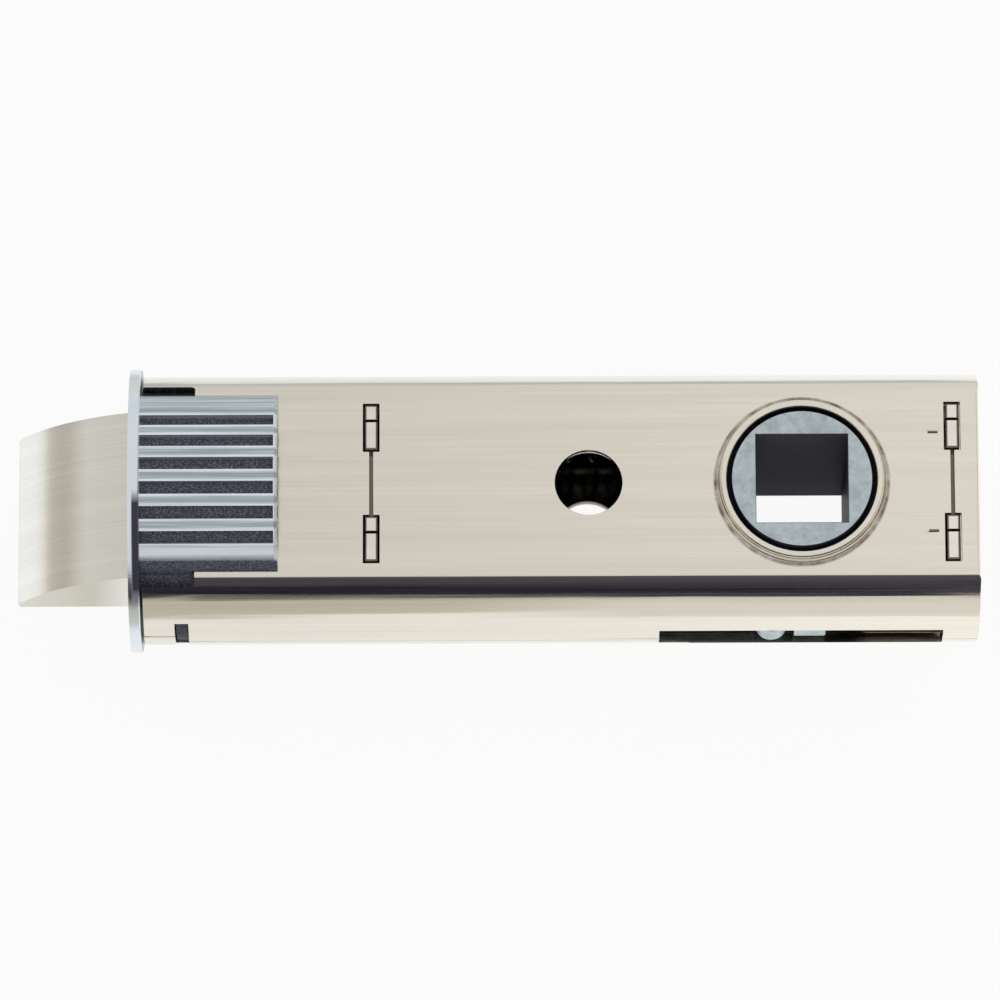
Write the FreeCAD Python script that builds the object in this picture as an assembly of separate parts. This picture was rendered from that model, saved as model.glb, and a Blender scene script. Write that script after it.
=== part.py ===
import FreeCAD
import Part
import math
import os

# Tubular door latch, lying on one of the flats of its tube. All sizes are in millimetres.
# The origin is the centre of the flange's front face. The bolt points along -X, the tube
# runs along +X, the spindle axis is parallel to Z and the tube's narrow sides face +Y and -Y.

# Door and lever set
backset = 60.0               # flange face to spindle axis
fixing_centres = 38.0        # between the two lever fixing bolts, astride the spindle
fixing_hole_r = 3.0

# Clearances
sheet_clearance = 0.1        # cast plug and plates inside the rolled sheet
slide_clearance = 0.2        # bolt in its aperture
pin_clearance = 0.05         # pins and rods in their holes
free_gap = 0.3               # pieces that pass each other

# Case tube: one rolled sheet, closed at a seam along the near narrow side
tube_r = 12.0
flat_half = 8.5              # tube axis to the outside of a flat
sheet = 0.9
tube_edge_r = 0.6            # bend between a flat and a round side
tube_tail = 1.8              # sheet behind the rear bulkhead
case_setback = 0.2           # flange to the front edge of the sheet
seam_gap = 0.15
seam_z = -0.8
seam_step = 1.6              # the seam's front stretch runs this much higher
notch_x = 4.0                # side notch that keys the case on the collar
notch_width = 1.2
notch_half = 4.1
relief_end = 5.9             # rear of the cut-outs for the collar's necks
relief_half = 9.3
relief_corner_r = 0.4
lip_hole_r = 6.65            # drawn lips round the hub
lip_wall = 0.7
lip_height = 1.2
lip_root_r = 0.6
lip_rim_bevel = 0.22

# Drive-in collar: one zinc casting
flange_r = 12.7
flange_t = 1.0
flange_bevel = 0.1
plug_length = 12.0           # behind the flange
cheek_length = 12.3
cheek_r = 12.5
cheek_half = 8.1
groove_count = 6
groove_pitch_deg = 10.25
groove_shift_deg = -1.7      # of the middle of the grooves, towards the seam
groove_width = 1.15
groove_depth = 0.7
groove_end_wall = 0.35
cheek_bevel = 0.3
cheek_side_bevel = 0.7

# Bolt and its draw rod
bolt_throw = 10.0
bolt_projection = 10.3       # tip before the flange's front face
bolt_width = 15.4
bolt_thickness = 9.6
bolt_rise = 0.6              # bolt's middle above the tube axis
bolt_tail = 10.2             # rear face behind the flange's front face
nose_run = 11.3              # length of the curved nose
nose_bulge = 1.4             # height of the nose's arc above its chord
tip_flat = 0.9
tip_corner_r = 0.3
pocket_r = 3.5
pocket_floor = 4.2
rod_r = 1.6
rod_tip = -1.4
cross_pin_r = 1.0
cross_pin_x = 2.0
clip_r = 2.5
clip_t = 0.8
clip_mouth = 0.8             # of the bore's width
clip_groove_depth = 0.4
rod_end_beyond_clip = 0.9

# Bulkheads, staked through slots in both flats
bulkhead_t = 1.25
bulkhead_gap = 0.8           # retracted bolt to front bulkhead, with room for the pins' heads
tab_inner = 3.05
tab_outer = 7.3
tab_proud = 0.12
stake_groove = 0.28
stake_gap = 0.1              # round the tabs in their slots
stake_shift = 0.6            # both chisel marks lie this far towards +Y of the tab middles
nick_before = 1.55           # press marks before the rear tabs
nick_length = 0.9
nick_y = 4.6
slit_width = 0.3             # between the two staking slots of a flat

# Hub
hub_r = 6.25
hub_half = 9.6
socket = 8.2                 # square for an 8 mm spindle
shoulder_r = 7.5             # rims that hold the hub between the flats
shoulder_t = 0.8
arm_half = 1.4               # pull arms, in the tube's middle plane
arm_tip_inset = 0.4          # middle of the rounded tip inside the tube's bore
arm_tip_r = 1.45
arm_root = 5.6               # front of the arm's root, before the spindle axis
arm_tilt_deg = 14.3          # towards the bolt
return_overhang = 0.95       # middle of a return arm's tip beyond the hub
return_tip_r = 1.0
return_tilt_deg = 29.0       # away from the bolt

# Retractor fork
fork_t = 1.4
fork_z = 1.9                 # underside of its plate
prong_hub_gap = 0.95
prong_case_gap = 0.4
bridge_length = 5.3
lug_t = 1.4
lug_half = 3.4
window_length = 2.4          # opening in the bridge over the rod's clip
lug_drop = 2.6               # below the tube axis
hook_t = 2.85
hook_inset = 0.5             # hook's end inside the tube's outside
hook_half = 1.3
hook_gap = 0.57              # to the hub's pull arm at rest
hook_end_gap = 0.6           # retracted hook to rear bulkhead
slot_end_gap = 0.45          # retracted hook to the end of the side slot

# Return fork and springs
return_fork_t = 1.2
return_prong_hub_gap = 0.75
return_case_gap = 0.5
return_bridge_length = 5.5
return_bridge_gap = 1.5      # bridge to the fixing bolt's passage
return_tab_hub_gap = 0.35
return_gap = 0.3             # to the hub's return arm at rest
seat_behind_fixing = 4.0     # spring seats behind the fixing bolt's axis
seat_half = 2.2
seat_top = 1.5
return_spring_r = 1.7        # to the middle of the wire
return_wire_r = 0.3
return_turns = 10
return_spring_inset = 4.5    # spring axis inside the tube's bore
return_spring_z = -0.6
guide_pin_r = 1.1
guide_before_fixing = 4.0    # end of a guide pin before the fixing bolt's axis
guide_head_t = 0.5
guide_head_r = 1.5
bolt_spring_r = 2.75
bolt_wire_r = 0.35
bolt_turns = 6
coil_steps = 7               # straight lengths in one turn
wire_sides = 6

# Places that follow from the sizes
case_front = flange_t + case_setback
inner_r = tube_r - sheet
inner_half = flat_half - sheet
front_bulkhead_x = bolt_tail + bolt_throw + bulkhead_gap
lug_x = front_bulkhead_x + bulkhead_t + sheet_clearance
arm_reach = inner_r - arm_tip_inset
arm_tip_x = backset - arm_reach * math.sin(math.radians(arm_tilt_deg))
hook_x = arm_tip_x + arm_tip_r + hook_gap
hook_end = hook_x + hook_t
rear_bulkhead_x = hook_end + bolt_throw + hook_end_gap
case_rear = rear_bulkhead_x + bulkhead_t + tube_tail
slot_half_length = hook_end + bolt_throw + slot_end_gap - backset
slot_half_width = arm_half - seam_z + free_gap
return_reach = hub_r + return_overhang
return_tip_x = backset + return_reach * math.sin(math.radians(return_tilt_deg))
return_tab_end = return_tip_x - return_tip_r - return_gap
fixing_x = backset - fixing_centres / 2
return_fork_top = return_spring_z - return_spring_r - return_wire_r - free_gap
return_fork_low = return_fork_top - return_fork_t
return_arm_low = shoulder_t + free_gap - inner_half
return_tab_low = return_arm_low + free_gap
fork_top = fork_z + fork_t
prong_inner = hub_r + prong_hub_gap
prong_outer = math.sqrt(inner_r ** 2 - fork_top ** 2) - prong_case_gap
return_prong_inner = hub_r + return_prong_hub_gap
return_prong_outer = math.sqrt(inner_r ** 2 - return_fork_low ** 2) - return_case_gap
return_tab_inner = hub_r + return_tab_hub_gap
return_tab_outer = math.sqrt(inner_r ** 2 - return_tab_low ** 2) - return_case_gap
return_spring_y = inner_r - return_spring_inset
return_bridge_end = fixing_x - fixing_hole_r - return_bridge_gap
seat_x = fixing_x + seat_behind_fixing
guide_pin_end = fixing_x - guide_before_fixing
clip_x = lug_x + lug_t + pin_clearance
bolt_low = bolt_rise - bolt_thickness / 2
bolt_high = bolt_rise + bolt_thickness / 2
far = 3 * tube_r             # past the outside of everything, for through cuts
over = 1.0                   # how far a cutter or a joined piece reaches past its edge
touch = 1e-6                 # edges this near to a plane lie in it

V = FreeCAD.Vector
ALONG = V(1, 0, 0)
ACROSS = V(0, 1, 0)
UP = V(0, 0, 1)
ORIGIN = V(0, 0, 0)


# Shared shapes

def box(x0, x1, y0, y1, z0, z1):
    return Part.makeBox(x1 - x0, y1 - y0, z1 - z0, V(x0, y0, z0))


def rod_along(radius, x0, x1, y=0.0, z=0.0):
    return Part.makeCylinder(radius, x1 - x0, V(x0, y, z), ALONG)


def rod_up(radius, z0, z1, x, y=0.0):
    return Part.makeCylinder(radius, z1 - z0, V(x, y, z0), UP)


def on_both_flats(shape):
    return shape.fuse(shape.mirror(ORIGIN, UP))


def on_both_sides(shape):
    return shape.fuse(shape.mirror(ORIGIN, ACROSS))


def flatted_round(radius, half, x0, x1):
    """A round bar along X with its top and bottom cut flat."""
    return rod_along(radius, x0, x1).common(box(x0, x1, -radius, radius, -half, half))


def prism(points, sweep):
    """The straight-sided outline through points, extruded along sweep."""
    return Part.Face(Part.makePolygon(points + points[:1])).extrude(sweep)


def coil(radius, wire_r, turns, x0, x1, y, z):
    """A compression spring along X whose wire touches the planes x0 and x1."""
    steps = turns * coil_steps
    rise = (x1 - x0 - 2 * wire_r) / steps
    sections = []
    for step in range(steps + 1):
        turn = 2 * math.pi * step / coil_steps
        outward = V(0, math.cos(turn), math.sin(turn))
        middle = V(x0 + wire_r + rise * step, y, z) + outward * radius
        corners = []
        for side in range(wire_sides):
            angle = 2 * math.pi * side / wire_sides
            offset = ALONG * math.cos(angle) + outward * math.sin(angle)
            corners.append(middle + offset * wire_r)
        sections.append(Part.makePolygon(corners + corners[:1]))
    return Part.makeLoft(sections, True, True)


# Case

def drawn_lip():
    """The upstanding rim that is drawn out of the flat round the hub."""
    inside = lip_hole_r
    outside = inside + lip_wall
    root = outside + lip_root_r
    root_cut = lip_root_r * (1 - math.sqrt(0.5))
    rim = flat_half + lip_height
    profile = [
        (inside, inner_half),
        (inside, rim - lip_rim_bevel),
        (inside + lip_rim_bevel, rim),
        (outside - lip_rim_bevel, rim),
        (outside, rim - lip_rim_bevel),
        (outside, flat_half + lip_root_r),
        (outside + root_cut, flat_half + root_cut),
        (root, flat_half),
        (root, inner_half),
    ]
    points = [V(backset + radius, 0, z) for radius, z in profile]
    return Part.Face(Part.makePolygon(points + points[:1])).revolve(V(backset, 0, 0), UP, 360)


def staking_slots(plate_x):
    """The openings in the upper flat for one bulkhead's two tabs, joined by a slit."""
    x0 = plate_x - stake_gap
    x1 = plate_x + bulkhead_t + stake_gap
    middle = plate_x + bulkhead_t / 2
    slot = box(x0, x1, tab_inner - stake_gap, tab_outer + stake_gap, inner_half - over, far)
    slit = box(middle - slit_width / 2, middle + slit_width / 2, -tab_inner, tab_inner,
               inner_half - over, far)
    return on_both_sides(slot).fuse(slit)


def press_marks():
    """Two small nicks in the upper flat, left by the tool that staked the rear bulkhead."""
    x = rear_bulkhead_x - nick_before
    nick = prism([V(x, nick_y - stake_groove / 2, flat_half),
                  V(x, nick_y, flat_half - stake_groove / 2),
                  V(x, nick_y + stake_groove / 2, flat_half)], ALONG * nick_length)
    return on_both_sides(nick)


def make_case():
    solid = flatted_round(tube_r, flat_half, case_front, case_rear)
    bends = [e for e in solid.Edges
             if e.Length > tube_r and abs(abs(e.CenterOfMass.z) - flat_half) < tube_edge_r / 10]
    solid = solid.makeFillet(tube_edge_r, bends)
    tube = solid.cut(flatted_round(inner_r, inner_half, case_front - over, case_rear + over))

    relief = box(case_front - over, relief_end, -relief_half, relief_half, inner_half / 2, far)
    corners = [e for e in relief.Edges
               if abs(e.CenterOfMass.x - relief_end) < touch and abs(e.tangentAt(e.FirstParameter).z) > 0.9]
    relief = relief.makeFillet(relief_corner_r, corners)
    side_slot = box(backset - slot_half_length, backset + slot_half_length, inner_r / 2, far,
                    seam_z - slot_half_width, seam_z + slot_half_width)
    notch = box(notch_x, notch_x + notch_width, inner_r / 2, far, seam_z - notch_half, seam_z + notch_half)
    front_seam_z = seam_z + seam_step
    front_seam = box(case_front - over, notch_x + notch_width / 2, -far, -inner_r / 2,
                     front_seam_z - seam_gap / 2, front_seam_z + seam_gap / 2)
    rear_seam = box(notch_x + notch_width / 2, case_rear + over, -far, -inner_r / 2,
                    seam_z - seam_gap / 2, seam_z + seam_gap / 2)
    tube = tube.cut([
        on_both_flats(relief),
        on_both_sides(side_slot),
        on_both_sides(notch),
        front_seam,
        rear_seam,
        on_both_flats(staking_slots(front_bulkhead_x)),
        on_both_flats(staking_slots(rear_bulkhead_x)),
        on_both_flats(press_marks()),
        rod_up(fixing_hole_r, -far, far, fixing_x),
        rod_up(lip_hole_r, -far, far, backset),
    ])
    return tube.fuse(on_both_flats(drawn_lip())).removeSplitter()


# Collar

def ribbed_cheek():
    """The upper cheek: a round-backed block on the flat with grooves along it."""
    front = flange_t / 2
    rear = flange_t + cheek_length
    low = flat_half + sheet_clearance
    back = rod_along(cheek_r, front, rear)
    rear_rim = [e for e in back.Edges if e.Closed and abs(e.CenterOfMass.x - rear) < touch]
    back = back.makeChamfer(cheek_bevel, rear_rim)
    slope = math.asin(cheek_half / cheek_r)
    corner_z = cheek_r * math.cos(slope)
    side_top = V(front, cheek_half, corner_z - cheek_side_bevel)
    bevel_run = V(0, -math.cos(slope), 1 + math.sin(slope))
    above = side_top + bevel_run * ((cheek_r + over - side_top.z) / bevel_run.z)
    outline = [V(front, cheek_half, low), side_top, above]
    outline += [V(front, -point.y, point.z) for point in reversed(outline)]
    cheek = back.common(prism(outline, ALONG * (rear - front)))
    for place in range(groove_count):
        angle = (place - (groove_count - 1) / 2) * groove_pitch_deg - groove_shift_deg
        groove = box(flange_t, rear - groove_end_wall, -groove_width / 2, groove_width / 2,
                     cheek_r - groove_depth, far)
        groove.rotate(ORIGIN, ALONG, angle)
        cheek = cheek.cut(groove)
    neck = box(front, relief_end - slide_clearance, -cheek_half, cheek_half,
               inner_half / 2 + bolt_high / 2, low + sheet_clearance)
    return cheek.fuse(neck)


def make_collar():
    flange = rod_along(flange_r, 0, flange_t)
    rear_rim = [e for e in flange.Edges if e.Closed and abs(e.CenterOfMass.x - flange_t) < touch]
    flange = flange.makeChamfer(flange_bevel, rear_rim)
    plug = flatted_round(inner_r - sheet_clearance, inner_half - sheet_clearance,
                         flange_t / 2, flange_t + plug_length)
    key = rod_along((inner_r + tube_r) / 2,
                    notch_x + sheet_clearance, notch_x + notch_width - sheet_clearance)
    key = key.common(box(notch_x, notch_x + notch_width, bolt_width / 2 + over, far,
                         seam_z - notch_half + sheet_clearance, seam_z + notch_half - sheet_clearance))
    aperture = box(-over, flange_t + plug_length + over,
                   -bolt_width / 2 - slide_clearance, bolt_width / 2 + slide_clearance,
                   bolt_low - slide_clearance, bolt_high + slide_clearance)
    body = flange.fuse([plug, on_both_flats(ribbed_cheek()), on_both_sides(key)])
    return body.cut(aperture).removeSplitter()


# Bolt group

def make_bolt():
    tip = -bolt_projection
    foot = V(tip, 0, bolt_low + tip_flat)
    crest = V(tip + nose_run, 0, bolt_high)
    chord = crest - foot
    outward = V(-chord.z, 0, chord.x).normalize()
    middle = foot + chord * 0.5 + outward * nose_bulge
    tail_high = V(bolt_tail, 0, bolt_high)
    tail_low = V(bolt_tail, 0, bolt_low)
    heel = V(tip, 0, bolt_low)
    side = Part.Wire([
        Part.makeLine(heel, foot),
        Part.Arc(foot, middle, crest).toShape(),
        Part.makeLine(crest, tail_high),
        Part.makeLine(tail_high, tail_low),
        Part.makeLine(tail_low, heel),
    ])
    body = Part.Face(side).extrude(ACROSS * bolt_width)
    body.translate(ACROSS * (-bolt_width / 2))
    plan = box(tip, bolt_tail, -bolt_width / 2, bolt_width / 2, bolt_low, bolt_high)
    tip_edges = [e for e in plan.Edges
                 if abs(e.CenterOfMass.x - tip) < touch and abs(e.tangentAt(e.FirstParameter).z) > 0.9]
    body = body.common(plan.makeFillet(tip_corner_r, tip_edges))
    pocket = rod_along(pocket_r, pocket_floor, bolt_tail + over)
    rod_hole = rod_along(rod_r + pin_clearance, rod_tip - pin_clearance, pocket_floor + over)
    pin_hole = Part.makeCylinder(cross_pin_r + pin_clearance, 2 * far, V(cross_pin_x, -far, 0), ACROSS)
    return body.cut([pocket, rod_hole, pin_hole]).removeSplitter()


def make_cross_pin():
    length = bolt_width - 2 * slide_clearance
    return Part.makeCylinder(cross_pin_r, length, V(cross_pin_x, -length / 2, 0), ACROSS)


def make_draw_rod():
    rod = rod_along(rod_r, rod_tip, clip_x + clip_t + rod_end_beyond_clip)
    pin_hole = Part.makeCylinder(cross_pin_r + pin_clearance, 2 * far, V(cross_pin_x, -far, 0), ACROSS)
    ring = rod_along(rod_r + over, clip_x - pin_clearance, clip_x + clip_t + pin_clearance)
    groove = ring.cut(rod_along(rod_r - clip_groove_depth, 0, far))
    return rod.cut([pin_hole, groove])


def make_clip():
    """A snap ring, open on its upper side so that it can be pushed onto the rod."""
    bore = rod_r - clip_groove_depth + pin_clearance
    ring = rod_along(clip_r, clip_x, clip_x + clip_t)
    mouth = box(clip_x - over, clip_x + clip_t + over, -bore * clip_mouth, bore * clip_mouth, 0, far)
    return ring.cut([rod_along(bore, clip_x - over, clip_x + clip_t + over), mouth])


def make_retractor():
    bridge_end = lug_x + bridge_length
    bridge = box(lug_x, bridge_end, -prong_outer, prong_outer, fork_z, fork_top)
    prong = box(bridge_end - over, hook_end, prong_inner, prong_outer, fork_z, fork_top)
    hook = box(hook_x, hook_end, prong_inner, prong_outer, -hook_half, fork_z + fork_t / 2)
    ear = box(hook_x, hook_end, prong_inner, tube_r - hook_inset, -hook_half, hook_half)
    lug = box(lug_x, lug_x + lug_t, -lug_half, lug_half, -lug_drop, fork_z + fork_t / 2)
    fork = bridge.fuse([on_both_sides(prong), on_both_sides(hook), on_both_sides(ear), lug])
    rod_hole = rod_along(rod_r + 2 * pin_clearance, lug_x - over, lug_x + lug_t + over)
    window_half = clip_r + free_gap
    window = box(lug_x + lug_t, lug_x + lug_t + window_length, -window_half, window_half, 0, far)
    return fork.cut([rod_hole, window]).removeSplitter()


# Hub

def pull_arm():
    """The arm on +Y. Its rear edge stands square to the hook, so only its round tip pushes."""
    tip_y = arm_reach * math.cos(math.radians(arm_tilt_deg))
    rear = arm_tip_x + arm_tip_r
    outline = [
        V(rear, 0, -arm_half),
        V(rear, tip_y, -arm_half),
        V(arm_tip_x - arm_tip_r, tip_y, -arm_half),
        V(backset - arm_root, 0, -arm_half),
    ]
    tip = rod_up(arm_tip_r, -arm_half, arm_half, arm_tip_x, tip_y)
    return prism(outline, UP * (2 * arm_half)).fuse(tip)


def return_arm():
    """The short arm on +Y that pushes the return fork towards the bolt."""
    high = return_fork_low - free_gap
    arm = box(-return_tip_r, return_tip_r, 0, return_reach, return_arm_low, high)
    arm = arm.fuse(rod_up(return_tip_r, return_arm_low, high, 0, return_reach))
    arm.rotate(ORIGIN, UP, -return_tilt_deg)
    arm.translate(V(backset, 0, 0))
    return arm


def make_hub():
    boss = rod_up(hub_r, -hub_half, hub_half, backset)
    shoulder = rod_up(shoulder_r, inner_half - free_gap - shoulder_t, inner_half - free_gap, backset)
    hub = boss.fuse([on_both_flats(shoulder), on_both_sides(pull_arm()), on_both_sides(return_arm())])
    half = socket / 2
    return hub.cut(box(backset - half, backset + half, -half, half, -far, far)).removeSplitter()


# Return fork

def make_return_fork():
    top = return_fork_top
    low = return_fork_low
    bridge = box(return_bridge_end - return_bridge_length, return_bridge_end,
                 -return_prong_outer, return_prong_outer, low, top)
    prong = box(return_bridge_end - over, return_tab_end, return_prong_inner, return_prong_outer, low, top)
    tab = box(return_tab_end - return_fork_t, return_tab_end, return_tab_inner, return_tab_outer,
              return_tab_low, top)
    seat = box(seat_x, seat_x + return_fork_t, return_spring_y - seat_half, return_spring_y + seat_half,
               low, seat_top)
    return bridge.fuse([on_both_sides(prong), on_both_sides(tab), on_both_sides(seat)]).removeSplitter()


# Plates, pins and springs

def bulkhead(plate_x):
    """A plate across the tube with two tabs through each flat, each split by a chisel mark."""
    x1 = plate_x + bulkhead_t
    body = flatted_round(inner_r - sheet_clearance, inner_half - sheet_clearance, plate_x, x1)
    top = flat_half + tab_proud
    tab = box(plate_x, x1, tab_inner, tab_outer, inner_half / 2, top)
    body = body.fuse(on_both_flats(on_both_sides(tab)))
    middle = (tab_inner + tab_outer) / 2
    for y in (stake_shift - middle, stake_shift + middle):
        mark = prism([V(plate_x, y - stake_groove / 2, top),
                      V(plate_x, y, top - stake_groove),
                      V(plate_x, y + stake_groove / 2, top)], ALONG * bulkhead_t)
        body = body.cut(on_both_flats(mark))
    return body


def guide_pin_places():
    return {"right": -return_spring_y, "left": return_spring_y}


def make_front_bulkhead():
    body = bulkhead(front_bulkhead_x)
    holes = [rod_along(rod_r + 2 * pin_clearance, 0, far)]
    for y in guide_pin_places().values():
        holes.append(rod_along(guide_pin_r + pin_clearance, 0, far, y, return_spring_z))
    return body.cut(holes)


def make_guide_pin(y):
    """A pin with a flat head on the front of the front bulkhead."""
    pin = rod_along(guide_pin_r, front_bulkhead_x - guide_head_t, guide_pin_end, y, return_spring_z)
    head = rod_along(guide_head_r, front_bulkhead_x - guide_head_t, front_bulkhead_x, y, return_spring_z)
    return pin.fuse(head).removeSplitter()


def make_return_spring(y):
    return coil(return_spring_r, return_wire_r, return_turns,
                front_bulkhead_x + bulkhead_t, seat_x, y, return_spring_z)


def make_bolt_spring():
    return coil(bolt_spring_r, bolt_wire_r, bolt_turns, pocket_floor, front_bulkhead_x, 0, 0)


pieces = {
    "case_tube": make_case(),
    "drive_in_collar": make_collar(),
    "latch_bolt": make_bolt(),
    "bolt_cross_pin": make_cross_pin(),
    "draw_rod": make_draw_rod(),
    "draw_rod_clip": make_clip(),
    "bolt_spring": make_bolt_spring(),
    "retractor_fork": make_retractor(),
    "hub": make_hub(),
    "return_fork": make_return_fork(),
    "front_bulkhead": make_front_bulkhead(),
    "rear_bulkhead": bulkhead(rear_bulkhead_x),
}
for side, place_y in guide_pin_places().items():
    pieces["spring_guide_pin_" + side] = make_guide_pin(place_y)
    pieces["return_spring_" + side] = make_return_spring(place_y)

os.makedirs("parts", exist_ok=True)
for name, shape in pieces.items():
    shape.exportStep("parts/" + name + ".step")
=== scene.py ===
import bpy
import math
from mathutils import Matrix, Vector


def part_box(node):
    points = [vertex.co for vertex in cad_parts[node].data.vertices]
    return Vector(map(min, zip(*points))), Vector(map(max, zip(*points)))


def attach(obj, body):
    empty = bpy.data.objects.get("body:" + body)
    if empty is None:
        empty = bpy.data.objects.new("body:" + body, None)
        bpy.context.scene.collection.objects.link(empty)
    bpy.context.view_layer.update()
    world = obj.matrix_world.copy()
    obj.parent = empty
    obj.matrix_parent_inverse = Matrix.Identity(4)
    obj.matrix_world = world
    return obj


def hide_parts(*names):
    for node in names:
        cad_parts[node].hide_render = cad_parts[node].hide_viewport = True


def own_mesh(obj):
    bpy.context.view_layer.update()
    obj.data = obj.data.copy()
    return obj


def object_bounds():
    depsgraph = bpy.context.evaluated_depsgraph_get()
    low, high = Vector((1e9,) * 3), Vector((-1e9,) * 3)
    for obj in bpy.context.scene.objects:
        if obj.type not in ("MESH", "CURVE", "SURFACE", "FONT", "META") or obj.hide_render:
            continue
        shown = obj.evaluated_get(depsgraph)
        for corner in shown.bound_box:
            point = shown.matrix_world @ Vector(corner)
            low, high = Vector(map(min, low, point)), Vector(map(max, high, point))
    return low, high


bl_info = {
    "name": "Tubular door latch",
    "version": (1, 0, 0),
    "blender": (4, 5, 0),
    "location": "View3D > Sidebar > Latch",
    "description": "Dresses the pieces of a tubular door latch and sets them on a pale studio floor",
    "category": "Object",
}

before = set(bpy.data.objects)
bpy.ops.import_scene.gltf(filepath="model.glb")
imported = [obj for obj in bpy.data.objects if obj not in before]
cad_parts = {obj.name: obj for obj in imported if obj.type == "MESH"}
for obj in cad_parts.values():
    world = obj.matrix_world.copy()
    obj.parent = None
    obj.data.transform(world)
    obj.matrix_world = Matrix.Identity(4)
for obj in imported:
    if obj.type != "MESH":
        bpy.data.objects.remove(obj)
cad_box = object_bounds()
MM = 0.001


# Sizes and colours that a user would change

def length(name, description, millimetres):
    """A length that is written in millimetres."""
    return bpy.props.FloatProperty(name=name, description=description, default=millimetres * MM,
                                   min=0.0, unit="LENGTH", precision=6)


def angle(name, description, degrees):
    """An angle that is written in degrees."""
    return bpy.props.FloatProperty(name=name, description=description, default=math.radians(degrees),
                                   min=0.0, subtype="ANGLE")


def linear(hex_code):
    """An sRGB hex value as linear red, green and blue."""
    channels = [int(hex_code[i:i + 2], 16) / 255 for i in (1, 3, 5)]
    return [c / 12.92 if c <= 0.04045 else ((c + 0.055) / 1.055) ** 2.4 for c in channels]


def colour(name, description, hex_code):
    """A colour that is written as an sRGB hex value."""
    return bpy.props.FloatVectorProperty(name=name, description=description, default=linear(hex_code),
                                         min=0.0, max=1.0, size=3, subtype="COLOR")


class LatchSizes(bpy.types.PropertyGroup):
    sheet_edge: length("Sheet edge", "Rounding of the stamped sheet's edges", 0.08)
    casting_edge: length("Casting edge", "Rounding of the die castings' edges", 0.12)
    bolt_edge: length("Bolt edge", "Rounding of the bolt's ground edges", 0.12)
    plate_edge: length("Plate edge", "Rounding of the stamped plates' edges", 0.1)
    tab_edge: length("Tab edge", "Rounding of the staked tabs' edges", 0.26)
    bolt_wire: length("Bolt spring wire", "Radius of the bolt spring's wire", 0.35)
    bolt_coil: length("Bolt spring coil", "Radius of the bolt spring to the middle of its wire", 2.75)
    return_wire: length("Return spring wire", "Radius of the return springs' wire", 0.3)
    return_coil: length("Return spring coil", "Radius of the return springs to the middle of their wire", 1.7)
    brush_line: length("Brush line", "Spacing of the brushed lines on the nickel plate", 0.16)
    # The span from tone_front to tone_rear is painted light: the case and the bulkheads' tabs grow paler
    # towards the rear.
    tone_front: length("Tone front", "Flange face to where the case begins to grow paler", 15.0)
    tone_rear: length("Tone rear", "Flange face to where the case is palest", 75.0)
    # nose ends a painted highlight: the bolt's nose is whitest where it mirrors the white floor.
    nose: length("Nose", "Flange face to where the bolt's nose is whitest", 10.0)
    casting_grain: length("Casting grain", "Width of the grain on the bare castings", 0.17)
    groove_floor: length("Groove floor", "Radius below which the collar is dark", 11.95)
    groove_edge: length("Groove edge", "Radius above which the collar is bright", 12.3)
    groove_half: length("Groove half width", "Half the width of a groove of the collar", 0.575)
    rib_radius: length("Rib radius", "Radius of the collar's ribbed cheeks", 12.5)
    rib_pitch: angle("Rib pitch", "Angle from one rib of the collar to the next", 10.25)
    rib_lean: angle("Rib lean", "Angle from the middle of a flat to the middle rib", 1.7)
    rib_reach: angle("Rib reach", "Angle from the middle rib to the end of the last groove", 30.0)
    flange: length("Flange", "Thickness of the collar's flange", 1.0)
    hub_place: length("Hub place", "Flange face to the middle of the hub", 60.0)
    # hub_side and hub_gap bound the painted shade round the hub's edge.
    hub_side: length("Hub side", "Radius at which the hub's face ends", 6.23)
    hub_gap: length("Hub gap", "Radius of the outside of the gap round the hub", 6.9)
    socket_half: length("Socket half", "Half the width of the hub's square socket", 4.1)
    lip_root: length("Lip root", "Radius of the crease round the lip of the case", 7.7)
    # The brown ring in this crease is painted shade.
    crease: length("Crease", "Half the width of the tarnish in that crease", 0.25)
    flat: length("Flat", "Tube's axis to the outside of a flat", 8.5)
    flat_width: length("Flat half width", "Half the width of a flat between its bends", 8.1)
    last_slot: length("Last slot", "Flange face to the rear of the last slot in the flats", 74.5)
    tab_top: length("Tab top", "Height of the staked tabs above the tube's axis", 8.62)


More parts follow.
